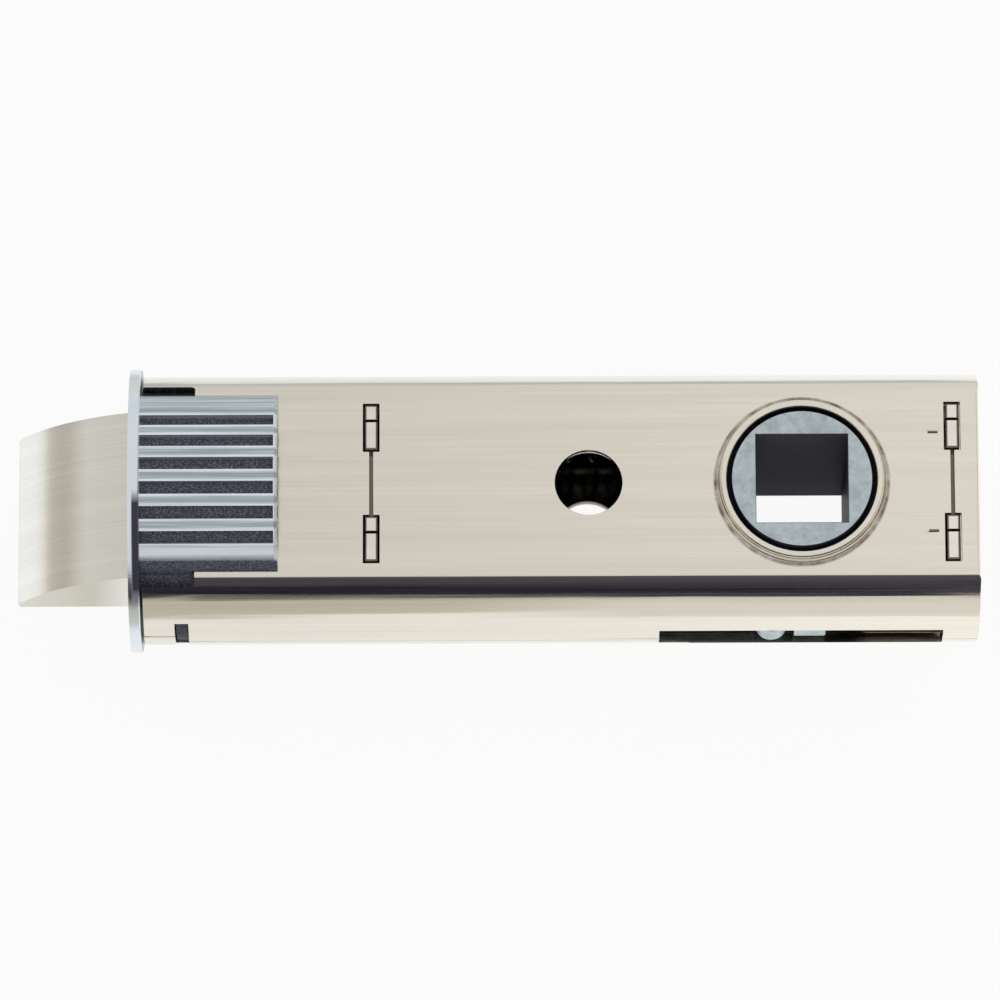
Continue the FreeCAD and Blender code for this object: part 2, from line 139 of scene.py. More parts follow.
class LatchColours(bpy.types.PropertyGroup):
    nickel: colour("Nickel", "Satin nickel plate on the case", "#ECE7DB")
    # This paler rear tone is painted light.
    nickel_rear_lit: colour("Rear nickel", "The same plate at the rear end of the case", "#FAF5E8")
    # This whiter nose tone is painted light: the nose mirrors the white floor, and the bolt is darker towards
    # the flange.
    bolt_nose_lit: colour("Bolt nose", "Satin nickel plate on the bolt's nose, rubbed by the strike", "#F8F9F5")
    bolt_nickel: colour("Bolt nickel", "The same plate on the bolt from the flange inward", "#E4E3D8")
    tab_nickel: colour("Tab nickel", "Nickel plate on the front staked tabs", "#F3EFE4")
    # This paler rear tone is painted light.
    tab_rear_lit: colour("Rear tab nickel", "Nickel plate on the rear staked tabs", "#FFFDF2")
    # This brown is painted shade in the case's crease and holes, and painted shade with tarnish in the
    # bulkheads' slots.
    tarnish_and_shade: colour("Tarnish", "Brown tarnish in creases of the plate", "#5E5149")
    rib: colour("Rib", "Zinc on the middle of a rib", "#A9B5BC")
    # This colour is a painted highlight along the edges of the ribs and on the rib beside the near narrow
    # side.
    rib_edge_highlight: colour("Rib edge", "Zinc burnished along the edges of a rib", "#F0F9FE")
    rim: colour("Rim", "Zinc polished by wear on the flange", "#E8F1F8")
    zinc: colour("Zinc", "Bare zinc casting", "#C8D5D9")
    zinc_dull: colour("Dull zinc", "Where the casting has weathered", "#AFBBC0")
    # This dark colour fills the collar's grooves and is painted shade beside its ribs; the pale grains show
    # through it.
    groove_and_side_dark: colour("Oxide", "Dark deposit in hollows of the castings", "#4B4B5A")
    # This dark colour makes the zinc's dark specks, and is painted shade in the hub's socket and round its
    # edge, and a painted reflection behind the flange's rim.
    speck_and_shade: colour("Soot", "Darker, even deposit in the hub's socket and behind the flange's rim", "#454454")
    oxide_pale: colour("Pale oxide", "Grains that show through the dark deposit", "#8F93A2")
    steel: colour("Plated steel", "Zinc-plated steel", "#8E9091")
    # This near-black wire is painted shade for the inside of the case.
    wire: colour("Spring wire", "Drawn spring wire under black oil", "#211F26")
    floor: colour("Floor", "Pale studio floor", "#F4F3F0")


# Materials

def add_node(tree, kind, inputs=None, **settings):
    """Adds a node with its settings; each input is a value or the output that it is linked to."""
    node = tree.nodes.new(kind)
    for name, value in settings.items():
        setattr(node, name, value)
    for socket, value in (inputs or {}).items():
        if isinstance(value, bpy.types.NodeSocket):
            tree.links.new(value, node.inputs[socket])
        else:
            node.inputs[socket].default_value = value
    return node


def new_material(name):
    """An empty node material and its output node."""
    material = bpy.data.materials.new(name)
    material.use_nodes = True
    material.node_tree.nodes.clear()
    return material, add_node(material.node_tree, "ShaderNodeOutputMaterial")


def opaque(rgb):
    """A colour with full alpha, as colour sockets take it."""
    return [*rgb, 1.0]


def round_hub(tree, place):
    """A point's place across the hub's axis, and its distance from that axis."""
    sizes = bpy.context.scene.latch_sizes
    middle = add_node(tree, "ShaderNodeMapping",
                      {"Vector": place, "Location": (-sizes.hub_place, 0.0, 0.0), "Scale": (1.0, 1.0, 0.0)})
    radius = add_node(tree, "ShaderNodeVectorMath", {0: middle.outputs["Vector"]}, operation="LENGTH")
    return middle.outputs["Vector"], radius.outputs["Value"]


def case_painted_shade(tree, place):
    """How much brown painted shade lies on the case: a broken ring in the crease round the lips, and
    nicks and hole walls in the flats, which are painted brown on their inside too."""
    sizes = bpy.context.scene.latch_sizes
    patch, fade = 1.2 * MM, 0.1 * MM
    shade_start_depth, brown_depth = 0.01 * MM, 0.05 * MM
    radius = round_hub(tree, place)[1]
    off = add_node(tree, "ShaderNodeMath", {0: radius, 1: sizes.lip_root}, operation="SUBTRACT")
    near = add_node(tree, "ShaderNodeMath", {0: off.outputs["Value"]}, operation="ABSOLUTE")
    broken = add_node(tree, "ShaderNodeTexNoise", {"Vector": place, "Scale": 1 / patch, "Detail": 4.0})
    most = add_node(tree, "ShaderNodeMapRange",
                    {"Value": broken.outputs["Fac"], "From Min": 0.3, "From Max": 0.7,
                     "To Min": 0.35, "To Max": 0.95})
    ring = add_node(tree, "ShaderNodeMapRange",
                    {"Value": near.outputs["Value"], "From Min": 0.3 * sizes.crease,
                     "From Max": sizes.crease, "To Min": most.outputs["Result"], "To Max": 0.0})
    axes = add_node(tree, "ShaderNodeSeparateXYZ", {"Vector": place})
    height = add_node(tree, "ShaderNodeMath", {0: axes.outputs["Z"]}, operation="ABSOLUTE")
    below = add_node(tree, "ShaderNodeMapRange",
                     {"Value": height.outputs["Value"], "From Min": sizes.flat - shade_start_depth,
                      "From Max": sizes.flat - brown_depth, "To Max": 0.88})
    aside = add_node(tree, "ShaderNodeMath", {0: axes.outputs["Y"]}, operation="ABSOLUTE")
    inward = add_node(tree, "ShaderNodeMapRange",
                      {"Value": aside.outputs["Value"], "From Min": sizes.flat_width - fade,
                       "From Max": sizes.flat_width, "To Min": below.outputs["Result"], "To Max": 0.0})
    forward = add_node(tree, "ShaderNodeMapRange",
                       {"Value": axes.outputs["X"], "From Min": sizes.last_slot,
                        "From Max": sizes.last_slot + fade, "To Min": inward.outputs["Result"],
                        "To Max": 0.0})
    return add_node(tree, "ShaderNodeMath",
                    {0: ring.outputs["Result"], 1: forward.outputs["Result"]},
                    operation="MAXIMUM").outputs["Value"]


def stake_slot_shade(tree, place):
    """How much brown lies on the bulkheads: painted shade and tarnish within the slots, bare on top of the
    staked tabs and inside the case."""
    sizes = bpy.context.scene.latch_sizes
    shade_start_depth, brown_depth = 0.004 * MM, 0.035 * MM
    slot_depth, bare_depth = 1.2 * MM, 1.7 * MM
    axes = add_node(tree, "ShaderNodeSeparateXYZ", {"Vector": place})
    height = add_node(tree, "ShaderNodeMath", {0: axes.outputs["Z"]}, operation="ABSOLUTE")
    in_slot = add_node(tree, "ShaderNodeMapRange",
                       {"Value": height.outputs["Value"], "From Min": sizes.tab_top - bare_depth,
                        "From Max": sizes.tab_top - slot_depth, "To Max": 0.92})
    return add_node(tree, "ShaderNodeMapRange",
                    {"Value": height.outputs["Value"], "From Min": sizes.tab_top - shade_start_depth,
                     "From Max": sizes.tab_top - brown_depth, "To Min": 0.0,
                     "To Max": in_slot.outputs["Result"]}).outputs["Result"]


def satin_nickel(name, tones, span, line, rise, darkest, tarnish_and_shade=None):
    """Nickel plate on steel, brushed along X: long fine lines and soft mirror images painted into its colour.
    It runs from the first tone to the second over the span along X, as painted light. Line is the spacing of
    the lines, coarser than on real plate so that they show, rise the height over which a line changes, and
    darkest their deepest tone."""
    line_length, band_length = 200 * line, 250 * line
    band_width, band_rise = 9 * line, 9 * rise
    scratch_depth = 0.02 * MM
    material, output = new_material(name)
    tree = material.node_tree
    place = add_node(tree, "ShaderNodeTexCoord").outputs["Object"]
    along = add_node(tree, "ShaderNodeMapping",
                     {"Vector": place, "Scale": (1 / line_length, 1 / line, 1 / rise)})
    lines = add_node(tree, "ShaderNodeTexNoise",
                     {"Vector": along.outputs["Vector"], "Scale": 1.0, "Detail": 3.0, "Roughness": 0.6})
    wide = add_node(tree, "ShaderNodeMapping",
                    {"Vector": place, "Scale": (1 / band_length, 1 / band_width, 1 / band_rise)})
    bands = add_node(tree, "ShaderNodeTexNoise",
                     {"Vector": wide.outputs["Vector"], "Scale": 1.0, "Detail": 2.0})
    both = add_node(tree, "ShaderNodeMath",
                    {0: lines.outputs["Fac"], 1: bands.outputs["Fac"]}, operation="ADD")
    streak = add_node(tree, "ShaderNodeMapRange",
                      {"Value": both.outputs["Value"], "From Min": 0.75, "From Max": 1.25,
                       "To Min": darkest, "To Max": 1.0})
    axes = add_node(tree, "ShaderNodeSeparateXYZ", {"Vector": place})
    rearward = add_node(tree, "ShaderNodeMapRange",
                        {"Value": axes.outputs["X"], "From Min": span[0], "From Max": span[1]})
    tone = add_node(tree, "ShaderNodeMix",
                    {"Factor": rearward.outputs["Result"], "A": opaque(tones[0]), "B": opaque(tones[1])},
                    data_type="RGBA")
    shade = add_node(tree, "ShaderNodeVectorMath",
                     {0: tone.outputs["Result"], "Scale": streak.outputs["Result"]}, operation="SCALE")
    base = shade.outputs["Vector"]
    # The brown mixed in here is painted shade, with tarnish in the bulkheads' slots.
    if tarnish_and_shade:
        base = add_node(tree, "ShaderNodeMix",
                        {"Factor": tarnish_and_shade(tree, place), "A": base,
                         "B": opaque(bpy.context.scene.latch_colours.tarnish_and_shade)},
                        data_type="RGBA").outputs["Result"]
    rough = add_node(tree, "ShaderNodeMapRange",
                     {"Value": lines.outputs["Fac"], "From Min": 0.3, "From Max": 0.7,
                      "To Min": 0.08, "To Max": 0.16})
    bump = add_node(tree, "ShaderNodeBump",
                    {"Height": lines.outputs["Fac"], "Strength": 0.1, "Distance": scratch_depth})
    shader = add_node(tree, "ShaderNodeBsdfPrincipled",
                      {"Base Color": base, "Roughness": rough.outputs["Result"],
                       "Normal": bump.outputs["Normal"], "Metallic": 1.0})
    tree.links.new(shader.outputs["BSDF"], output.inputs["Surface"])
    return material


def zinc_grain(tree, place):
    """The grain that all the zinc castings share, drawn coarser than the real one so that it shows."""
    sizes = bpy.context.scene.latch_sizes
    return add_node(tree, "ShaderNodeTexNoise",
                    {"Vector": place, "Scale": 1 / sizes.casting_grain, "Detail": 4.0,
                     "Roughness": 0.65}).outputs["Fac"]


def grainy_dark(tree, grain):
    """The dark colour of the collar's grooves and of the painted shade beside its ribs, with grains of the
    casting showing through.
    """
    colours = bpy.context.scene.latch_colours
    speck = add_node(tree, "ShaderNodeMapRange", {"Value": grain, "From Min": 0.45, "From Max": 0.75})
    return add_node(tree, "ShaderNodeMix",
                    {"Factor": speck.outputs["Result"], "A": opaque(colours.groove_and_side_dark),
                     "B": opaque(colours.oxide_pale)}, data_type="RGBA").outputs["Result"]


def casting_shader(tree, output, base, grain, dark, polish=None):
    """The castings' matte metal, where dark is 1 covered by a colour that isn't metal: dark specks, the
    collar's dark grooves, and painted shade and painted reflection; polish, where given, runs from 1 on worn
    places to 0."""
    grain_depth = 0.04 * MM
    rough = add_node(tree, "ShaderNodeMapRange",
                     {"Value": grain, "From Min": 0.3, "From Max": 0.7, "To Min": 0.32, "To Max": 0.5})
    surface = rough.outputs["Result"]
    if polish:
        surface = add_node(tree, "ShaderNodeMapRange",
                           {"Value": polish, "To Min": surface, "To Max": 0.2}).outputs["Result"]
    bump = add_node(tree, "ShaderNodeBump", {"Height": grain, "Strength": 0.3, "Distance": grain_depth})
    bare = add_node(tree, "ShaderNodeMath", {0: 1.0, 1: dark}, operation="SUBTRACT")
    shader = add_node(tree, "ShaderNodeBsdfPrincipled",
                      {"Base Color": base, "Roughness": surface, "Normal": bump.outputs["Normal"],
                       "Metallic": bare.outputs["Value"], "Specular IOR Level": 0.012})
    tree.links.new(shader.outputs["BSDF"], output.inputs["Surface"])


def among_ribs(tree, axes):
    """How a point of the collar lies among its ribs: its share of a pitch from the middle of the nearest
    groove, and its angle from the middle rib."""
    sizes = bpy.context.scene.latch_sizes
    height = add_node(tree, "ShaderNodeMath", {0: axes.outputs["Z"]}, operation="ABSOLUTE")
    turned = add_node(tree, "ShaderNodeMath",
                      {0: axes.outputs["Y"], 1: height.outputs["Value"]}, operation="ARCTAN2")
    pitches = add_node(tree, "ShaderNodeMapRange",
                       {"Value": turned.outputs["Value"], "From Min": -sizes.rib_lean,
                        "From Max": sizes.rib_pitch - sizes.rib_lean, "To Min": 0.5, "To Max": 1.5},
                       clamp=False)
    from_groove = add_node(tree, "ShaderNodeMath",
                           {0: pitches.outputs["Result"], 1: 0.5}, operation="PINGPONG")
    leaning = add_node(tree, "ShaderNodeMath",
                       {0: turned.outputs["Value"], 1: sizes.rib_lean}, operation="ADD")
    from_middle = add_node(tree, "ShaderNodeMath", {0: leaning.outputs["Value"]}, operation="ABSOLUTE")
    return from_groove.outputs["Value"], from_middle.outputs["Value"]


def groove_share():
    """Half the width of a groove as a share of the pitch."""
    sizes = bpy.context.scene.latch_sizes
    return sizes.groove_half / (sizes.rib_radius * sizes.rib_pitch)


def rib_metal(tree, place, axes, from_groove, from_middle):
    """The colour of the ribs' bare zinc: streaked along X, with painted highlights along their edges and all
    over the rib beside the near narrow side."""
    colours = bpy.context.scene.latch_colours
    sizes = bpy.context.scene.latch_sizes
    edge = groove_share()
    near_rib, near_rib_full = -6.1 * MM, -6.8 * MM
    streak_length, streak_width = 12 * MM, 0.18 * MM
    # Painted highlights along the rib edges.
    edge_highlight = add_node(tree, "ShaderNodeMapRange",
                       {"Value": from_groove, "From Min": 1.2 * edge, "From Max": 1.6 * edge,
                        "To Min": 1.0, "To Max": 0.0})
    within = add_node(tree, "ShaderNodeMapRange",
                      {"Value": from_middle, "From Min": sizes.rib_reach,
                       "From Max": 1.04 * sizes.rib_reach, "To Min": 1.0, "To Max": 0.35})
    edges = add_node(tree, "ShaderNodeMath",
                     {0: edge_highlight.outputs["Result"], 1: within.outputs["Result"]}, operation="MULTIPLY")
    near_rib_highlight = add_node(tree, "ShaderNodeMapRange",
                       {"Value": axes.outputs["Y"], "From Min": near_rib, "From Max": near_rib_full})
    bright = add_node(tree, "ShaderNodeMath",
                      {0: edges.outputs["Value"], 1: near_rib_highlight.outputs["Result"]}, operation="MAXIMUM")
    along = add_node(tree, "ShaderNodeMapping",
                     {"Vector": place, "Scale": (1 / streak_length, 1 / streak_width, 1 / streak_width)})
    drawn = add_node(tree, "ShaderNodeTexNoise",
                     {"Vector": along.outputs["Vector"], "Scale": 1.0, "Detail": 3.0})
    streak = add_node(tree, "ShaderNodeMapRange",
                      {"Value": drawn.outputs["Fac"], "From Min": 0.35, "From Max": 0.65,
                       "To Min": -0.2, "To Max": 0.4})
    lit = add_node(tree, "ShaderNodeMath",
                   {0: bright.outputs["Value"], 1: streak.outputs["Result"]}, operation="ADD", use_clamp=True)
    return add_node(tree, "ShaderNodeMix",
                    {"Factor": lit.outputs["Value"], "A": opaque(colours.rib), "B": opaque(colours.rib_edge_highlight)},
                    data_type="RGBA").outputs["Result"]


def collar_hollow(tree, place, axes, grain, from_groove, from_middle):
    """Where the collar is dark behind its flange: in the grooves, whose walls the grain makes ragged, and as
    painted shade beside the ribs."""
    sizes = bpy.context.scene.latch_sizes
    edge = groove_share()
    ragged_depth = 0.3 * MM
    near_side, near_side_full = -7.35 * MM, -7.6 * MM
    far_side, far_side_full = 7.9 * MM, 8.2 * MM
    across = add_node(tree, "ShaderNodeMapping", {"Vector": place, "Scale": (0.0, 1.0, 1.0)})
    radius = add_node(tree, "ShaderNodeVectorMath", {0: across.outputs["Vector"]}, operation="LENGTH")
    ragged = add_node(tree, "ShaderNodeMath",
                      {0: grain, 1: ragged_depth, 2: radius.outputs["Value"]}, operation="MULTIPLY_ADD")
    depth = add_node(tree, "ShaderNodeMapRange",
                     {"Value": ragged.outputs["Value"], "From Min": sizes.groove_floor + ragged_depth / 2,
                      "From Max": sizes.groove_edge + ragged_depth / 2, "To Min": 1.0, "To Max": 0.0})
    in_groove = add_node(tree, "ShaderNodeMapRange",
                         {"Value": from_groove, "From Min": 1.04 * edge, "From Max": 1.1 * edge,
                          "To Min": depth.outputs["Result"], "To Max": 0.0})
    in_ribs = add_node(tree, "ShaderNodeMapRange",
                       {"Value": from_middle, "From Min": sizes.rib_reach,
                        "From Max": 1.04 * sizes.rib_reach, "To Min": in_groove.outputs["Result"],
                        "To Max": 0.0})
    # The dark beside the ribs is painted shade.
    near = add_node(tree, "ShaderNodeMapRange",
                    {"Value": axes.outputs["Y"], "From Min": near_side, "From Max": near_side_full})
    far = add_node(tree, "ShaderNodeMapRange",
                   {"Value": axes.outputs["Y"], "From Min": far_side, "From Max": far_side_full})
    sides = add_node(tree, "ShaderNodeMath",
                     {0: near.outputs["Result"], 1: far.outputs["Result"]}, operation="MAXIMUM")
    return add_node(tree, "ShaderNodeMath",
                    {0: in_ribs.outputs["Result"], 1: sides.outputs["Value"]},
                    operation="MAXIMUM").outputs["Value"]


def rim_dark_reflection(tree, axes):
    """Where the flange is dark with a painted reflection: along the back of its rim, on the near side."""
    sizes = bpy.context.scene.latch_sizes
    middle, dark_reach, unshaded_reach = -6.3 * MM, 3.4 * MM, 4.6 * MM
    behind = add_node(tree, "ShaderNodeMapRange",
                      {"Value": axes.outputs["X"], "From Min": 0.32 * sizes.flange,
                       "From Max": 0.44 * sizes.flange})
    off = add_node(tree, "ShaderNodeMath", {0: axes.outputs["Y"], 1: middle}, operation="SUBTRACT")
    reach = add_node(tree, "ShaderNodeMath", {0: off.outputs["Value"]}, operation="ABSOLUTE")
    return add_node(tree, "ShaderNodeMapRange",
                    {"Value": reach.outputs["Value"], "From Min": dark_reach, "From Max": unshaded_reach,
                     "To Min": behind.outputs["Result"], "To Max": 0.0}).outputs["Result"]


def ribbed_zinc(name):
    """Zinc die casting with drive-in ribs: painted highlights on the rib edges, grainy near-black grooves,
    painted shade on the sides, and a flange rim that handling has polished, with a painted dark reflection
    along the back of its near side."""
    colours = bpy.context.scene.latch_colours
    sizes = bpy.context.scene.latch_sizes
    material, output = new_material(name)
    tree = material.node_tree
    place = add_node(tree, "ShaderNodeTexCoord").outputs["Object"]
    axes = add_node(tree, "ShaderNodeSeparateXYZ", {"Vector": place})
    grain = zinc_grain(tree, place)
    from_groove, from_middle = among_ribs(tree, axes)
    on_flange = add_node(tree, "ShaderNodeMapRange",
                         {"Value": axes.outputs["X"], "From Min": 0.95 * sizes.flange,
                          "From Max": 1.1 * sizes.flange, "To Min": 1.0, "To Max": 0.0}).outputs["Result"]
    dark = add_node(tree, "ShaderNodeMapRange",
                    {"Value": on_flange, "To Max": rim_dark_reflection(tree, axes),
                     "To Min": collar_hollow(tree, place, axes, grain, from_groove, from_middle)})
    bare = add_node(tree, "ShaderNodeMix",
                    {"Factor": on_flange, "A": rib_metal(tree, place, axes, from_groove, from_middle),
                     "B": opaque(colours.rim)}, data_type="RGBA")
    # The dark tone is painted shade and painted reflection, and the colour of the collar's grooves.
    dark_tone = add_node(tree, "ShaderNodeMix",
                     {"Factor": on_flange, "A": grainy_dark(tree, grain), "B": opaque(colours.speck_and_shade)},
                     data_type="RGBA")
    base = add_node(tree, "ShaderNodeMix",
                    {"Factor": dark.outputs["Result"], "A": bare.outputs["Result"],
                     "B": dark_tone.outputs["Result"]}, data_type="RGBA")
    casting_shader(tree, output, base.outputs["Result"], grain, dark.outputs["Result"], on_flange)
    return material


def socket_shade(tree, place):
    """Where the hub is dark as painted shade: in its square socket and round its edge."""
    sizes = bpy.context.scene.latch_sizes
    dark_rim, unshaded_rim = 0.02 * MM, 0.08 * MM
    middle, radius = round_hub(tree, place)
    round_edge = add_node(tree, "ShaderNodeMath",
                          {0: radius, 1: (sizes.hub_side + sizes.hub_gap) / 2,
                           2: (sizes.hub_gap - sizes.hub_side) / 2}, operation="COMPARE")
    square = add_node(tree, "ShaderNodeVectorMath", {0: middle}, operation="ABSOLUTE")
    sides = add_node(tree, "ShaderNodeSeparateXYZ", {"Vector": square.outputs["Vector"]})
    wider = add_node(tree, "ShaderNodeMath",
                     {0: sides.outputs["X"], 1: sides.outputs["Y"]}, operation="MAXIMUM")
    inside = add_node(tree, "ShaderNodeMapRange",
                      {"Value": wider.outputs["Value"], "From Min": sizes.socket_half + dark_rim,
                       "From Max": sizes.socket_half + unshaded_rim, "To Min": 1.0, "To Max": 0.0})
    return add_node(tree, "ShaderNodeMath",
                    {0: round_edge.outputs["Value"], 1: inside.outputs["Result"]},
                    operation="MAXIMUM").outputs["Value"]


def mottled_zinc(name, patch, painted_shade=None):
    """Zinc die casting with a matte mottled skin, dark specks and, where the given mask says so, painted
    shade.
    """
    colours = bpy.context.scene.latch_colours
    material, output = new_material(name)
    tree = material.node_tree
    place = add_node(tree, "ShaderNodeTexCoord").outputs["Object"]
    grain = zinc_grain(tree, place)
    patches = add_node(tree, "ShaderNodeTexNoise",
                       {"Vector": place, "Scale": 1 / patch, "Detail": 6.0, "Roughness": 0.7})
    dull = add_node(tree, "ShaderNodeMapRange",
                    {"Value": patches.outputs["Fac"], "From Min": 0.4, "From Max": 0.65})
    skin = add_node(tree, "ShaderNodeMix",
                    {"Factor": dull.outputs["Result"], "A": opaque(colours.zinc),
                     "B": opaque(colours.zinc_dull)}, data_type="RGBA")
    speck = add_node(tree, "ShaderNodeMapRange",
                     {"Value": grain, "From Min": 0.66, "From Max": 0.78, "To Max": 0.7})
    dark = speck.outputs["Result"]
    if painted_shade:
        dark = add_node(tree, "ShaderNodeMath", {0: dark, 1: painted_shade(tree, place)},
                        operation="MAXIMUM").outputs["Value"]
    base = add_node(tree, "ShaderNodeMix",
                    {"Factor": dark, "A": skin.outputs["Result"], "B": opaque(colours.speck_and_shade)},
                    data_type="RGBA")
    casting_shader(tree, output, base.outputs["Result"], grain, dark)
    return material


def plated_steel(name):
    """Zinc-plated mild steel, barrel plated: an even cool sheen with faint cloudy patches."""
    colours = bpy.context.scene.latch_colours
    cloud = 1.5 * MM
    material, output = new_material(name)
    tree = material.node_tree
    place = add_node(tree, "ShaderNodeTexCoord").outputs["Object"]
    clouds = add_node(tree, "ShaderNodeTexNoise", {"Vector": place, "Scale": 1 / cloud, "Detail": 4.0})
    tint = add_node(tree, "ShaderNodeMapRange",
                    {"Value": clouds.outputs["Fac"], "From Min": 0.3, "From Max": 0.7,
                     "To Min": 0.86, "To Max": 1.0})
    shade = add_node(tree, "ShaderNodeVectorMath",
                     {0: colours.steel, "Scale": tint.outputs["Result"]}, operation="SCALE")
    rough = add_node(tree, "ShaderNodeMapRange",
                     {"Value": clouds.outputs["Fac"], "From Min": 0.3, "From Max": 0.7,
                      "To Min": 0.22, "To Max": 0.36})
    shader = add_node(tree, "ShaderNodeBsdfPrincipled",
                      {"Base Color": shade.outputs["Vector"], "Roughness": rough.outputs["Result"],
                       "Metallic": 1.0})
    tree.links.new(shader.outputs["BSDF"], output.inputs["Surface"])
    return material


def spring_wire_painted_dark(name):
    """Hard-drawn spring steel: wire painted nearly black, as painted shade inside the case, in a slight
    mottle.
    """
    colours = bpy.context.scene.latch_colours
    drop = 0.4 * MM
    material, output = new_material(name)
    tree = material.node_tree
    place = add_node(tree, "ShaderNodeTexCoord").outputs["Object"]
    mottle = add_node(tree, "ShaderNodeTexNoise", {"Vector": place, "Scale": 1 / drop, "Detail": 3.0})
    rough = add_node(tree, "ShaderNodeMapRange",
                     {"Value": mottle.outputs["Fac"], "From Min": 0.3, "From Max": 0.7,
                      "To Min": 0.42, "To Max": 0.58})
    shader = add_node(tree, "ShaderNodeBsdfPrincipled",
                      {"Base Color": opaque(colours.wire), "Roughness": rough.outputs["Result"],
                       "Metallic": 1.0})
    tree.links.new(shader.outputs["BSDF"], output.inputs["Surface"])
    return material


# Modelling

WELD = 0.002 * MM  # points of a mesh that lie closer are one
CUT_WELD = 0.02 * MM  # the same after cuts, which leave slivers
FLAT_TURN = math.radians(0.4)  # faces that turn by less are joined
SMOOTH_TURN = math.radians(40)  # edges that turn by less are shaded smooth
CASE_CUTS = [x * MM for x in (6.4, 20.0, 40.0, 50.0, 70.0)]  # places that divide the case's long faces


def only(obj):
    """Selects this object alone and makes it active."""
    bpy.ops.object.select_all(action="DESELECT")
    obj.select_set(True)
    bpy.context.view_layer.objects.active = obj


def apply_modifier(obj, kind, **settings):
    """Adds a modifier with its settings and applies it."""
    modifier = obj.modifiers.new(kind.title(), kind)
    for name, value in settings.items():
        setattr(modifier, name, value)
    only(obj)
    bpy.ops.object.modifier_apply(modifier=modifier.name)


def finish_piece(obj, node, body, material):
    """Gives a piece its material, hides the node that it stands for and hangs it from the body that carries
    it.
    """
    obj.data.materials.clear()
    obj.data.materials.append(material)
    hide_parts(node)
    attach(obj, body)


def joined_copy(node, cuts):
    """A copy of a CAD node with its loose triangles joined into faces, divided at the cuts along X."""
    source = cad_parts[node]
    obj = bpy.data.objects.new(node + "_dressed", source.data.copy())
    bpy.context.scene.collection.objects.link(obj)
    only(obj)
    bpy.ops.mesh.customdata_custom_splitnormals_clear()
    bpy.ops.object.mode_set(mode="EDIT")
    bpy.ops.mesh.select_all(action="SELECT")
    bpy.ops.mesh.remove_doubles(threshold=WELD)
    bpy.ops.mesh.dissolve_limited(angle_limit=FLAT_TURN)
    for cut in cuts:
        bpy.ops.mesh.select_all(action="SELECT")
        bpy.ops.mesh.bisect(plane_co=(cut, 0, 0), plane_no=(1, 0, 0))
    if cuts:
        bpy.ops.mesh.select_all(action="SELECT")
        bpy.ops.mesh.remove_doubles(threshold=CUT_WELD)
    bpy.ops.object.mode_set(mode="OBJECT")
    return obj


def weigh_edges(obj, sharp, above, shortest, room):
    """Gives bevel weight to the edges that turn by at least sharp degrees, lie at least above from the
    middle plane, are longer than shortest and meet no edge shorter than room."""
    bpy.ops.object.mode_set(mode="EDIT")
    bpy.ops.mesh.select_all(action="DESELECT")
    bpy.ops.mesh.select_mode(type="EDGE")
    bpy.ops.mesh.edges_select_sharp(sharpness=math.radians(sharp))
    bpy.ops.object.mode_set(mode="OBJECT")
    mesh = obj.data
    places = [vertex.co for vertex in mesh.vertices]
    spans = [(places[line.vertices[0]] - places[line.vertices[1]]).length for line in mesh.edges]
    finest = [max(spans)] * len(places)
    for line, span in zip(mesh.edges, spans):
        for i in line.vertices:
            finest[i] = min(finest[i], span)
    weight = mesh.attributes.new("bevel_weight_edge", "FLOAT", "EDGE")
    for line, span in zip(mesh.edges, spans):
        low = min(abs(places[i].z) for i in line.vertices)
        tight = min(finest[i] for i in line.vertices) < room
        if line.select and low >= above and span > shortest and not tight:
            weight.data[line.index].value = 1.0


def dress(node, body, material, edge, sharp=34, above=0.0, cuts=(), clamp=True):
    """Makes a copy of a CAD node with its triangles joined into faces and its long sharp edges rounded.
    Edges turn by at least sharp degrees and lie at least above from the middle plane; cuts divide long
    faces along X so that their shading stays even. Without clamp the rounding keeps its full width, and
    edges that end among very short ones stay sharp."""
    shortest = max(0.3 * MM, 2.5 * edge)
    room = 0.0 if clamp else 2 * edge
    obj = joined_copy(node, cuts)
    weigh_edges(obj, sharp, above, shortest, room)
    apply_modifier(obj, "BEVEL", width=edge, segments=2, limit_method="WEIGHT", use_clamp_overlap=clamp)
    bpy.ops.object.shade_smooth_by_angle(angle=SMOOTH_TURN)
    apply_modifier(obj, "WEIGHTED_NORMAL", keep_sharp=True, weight=100)
    finish_piece(obj, node, body, material)


def wind_spring(node, wire, coil, turns, material):
    """A compression spring between the ends of its CAD node, wound from a circle of wire."""
    wire_sides, turn_steps = 12, 24
    low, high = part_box(node)
    middle = (Vector(low) + Vector(high)) / 2
    bpy.ops.object.select_all(action="DESELECT")
    bpy.ops.mesh.primitive_circle_add(vertices=wire_sides, radius=wire, fill_type="NOTHING")
    obj = bpy.context.object
    obj.name = node + "_wound"
    bpy.ops.object.mode_set(mode="EDIT")
    bpy.ops.mesh.select_all(action="SELECT")
    bpy.ops.transform.translate(value=(0, coil, 0))
    bpy.ops.object.mode_set(mode="OBJECT")
    pitch = (high[0] - low[0] - 2 * wire) / turns
    apply_modifier(obj, "SCREW", axis="X", screw_offset=pitch, iterations=turns, steps=turn_steps,
                   render_steps=turn_steps, use_normal_calculate=True)
    bpy.ops.object.mode_set(mode="EDIT")
    bpy.ops.mesh.select_all(action="SELECT")
    bpy.ops.mesh.remove_doubles(threshold=WELD)
    bpy.ops.mesh.fill_holes(sides=0)
    bpy.ops.mesh.select_all(action="SELECT")
    bpy.ops.mesh.normals_make_consistent(inside=False)
    bpy.ops.object.mode_set(mode="OBJECT")
    obj.location = (low[0] + wire, middle.y, middle.z)
    bpy.ops.object.transform_apply(location=True, rotation=True, scale=True)
    bpy.ops.object.shade_smooth_by_angle(angle=SMOOTH_TURN)
    finish_piece(obj, node, "case", material)
    return obj


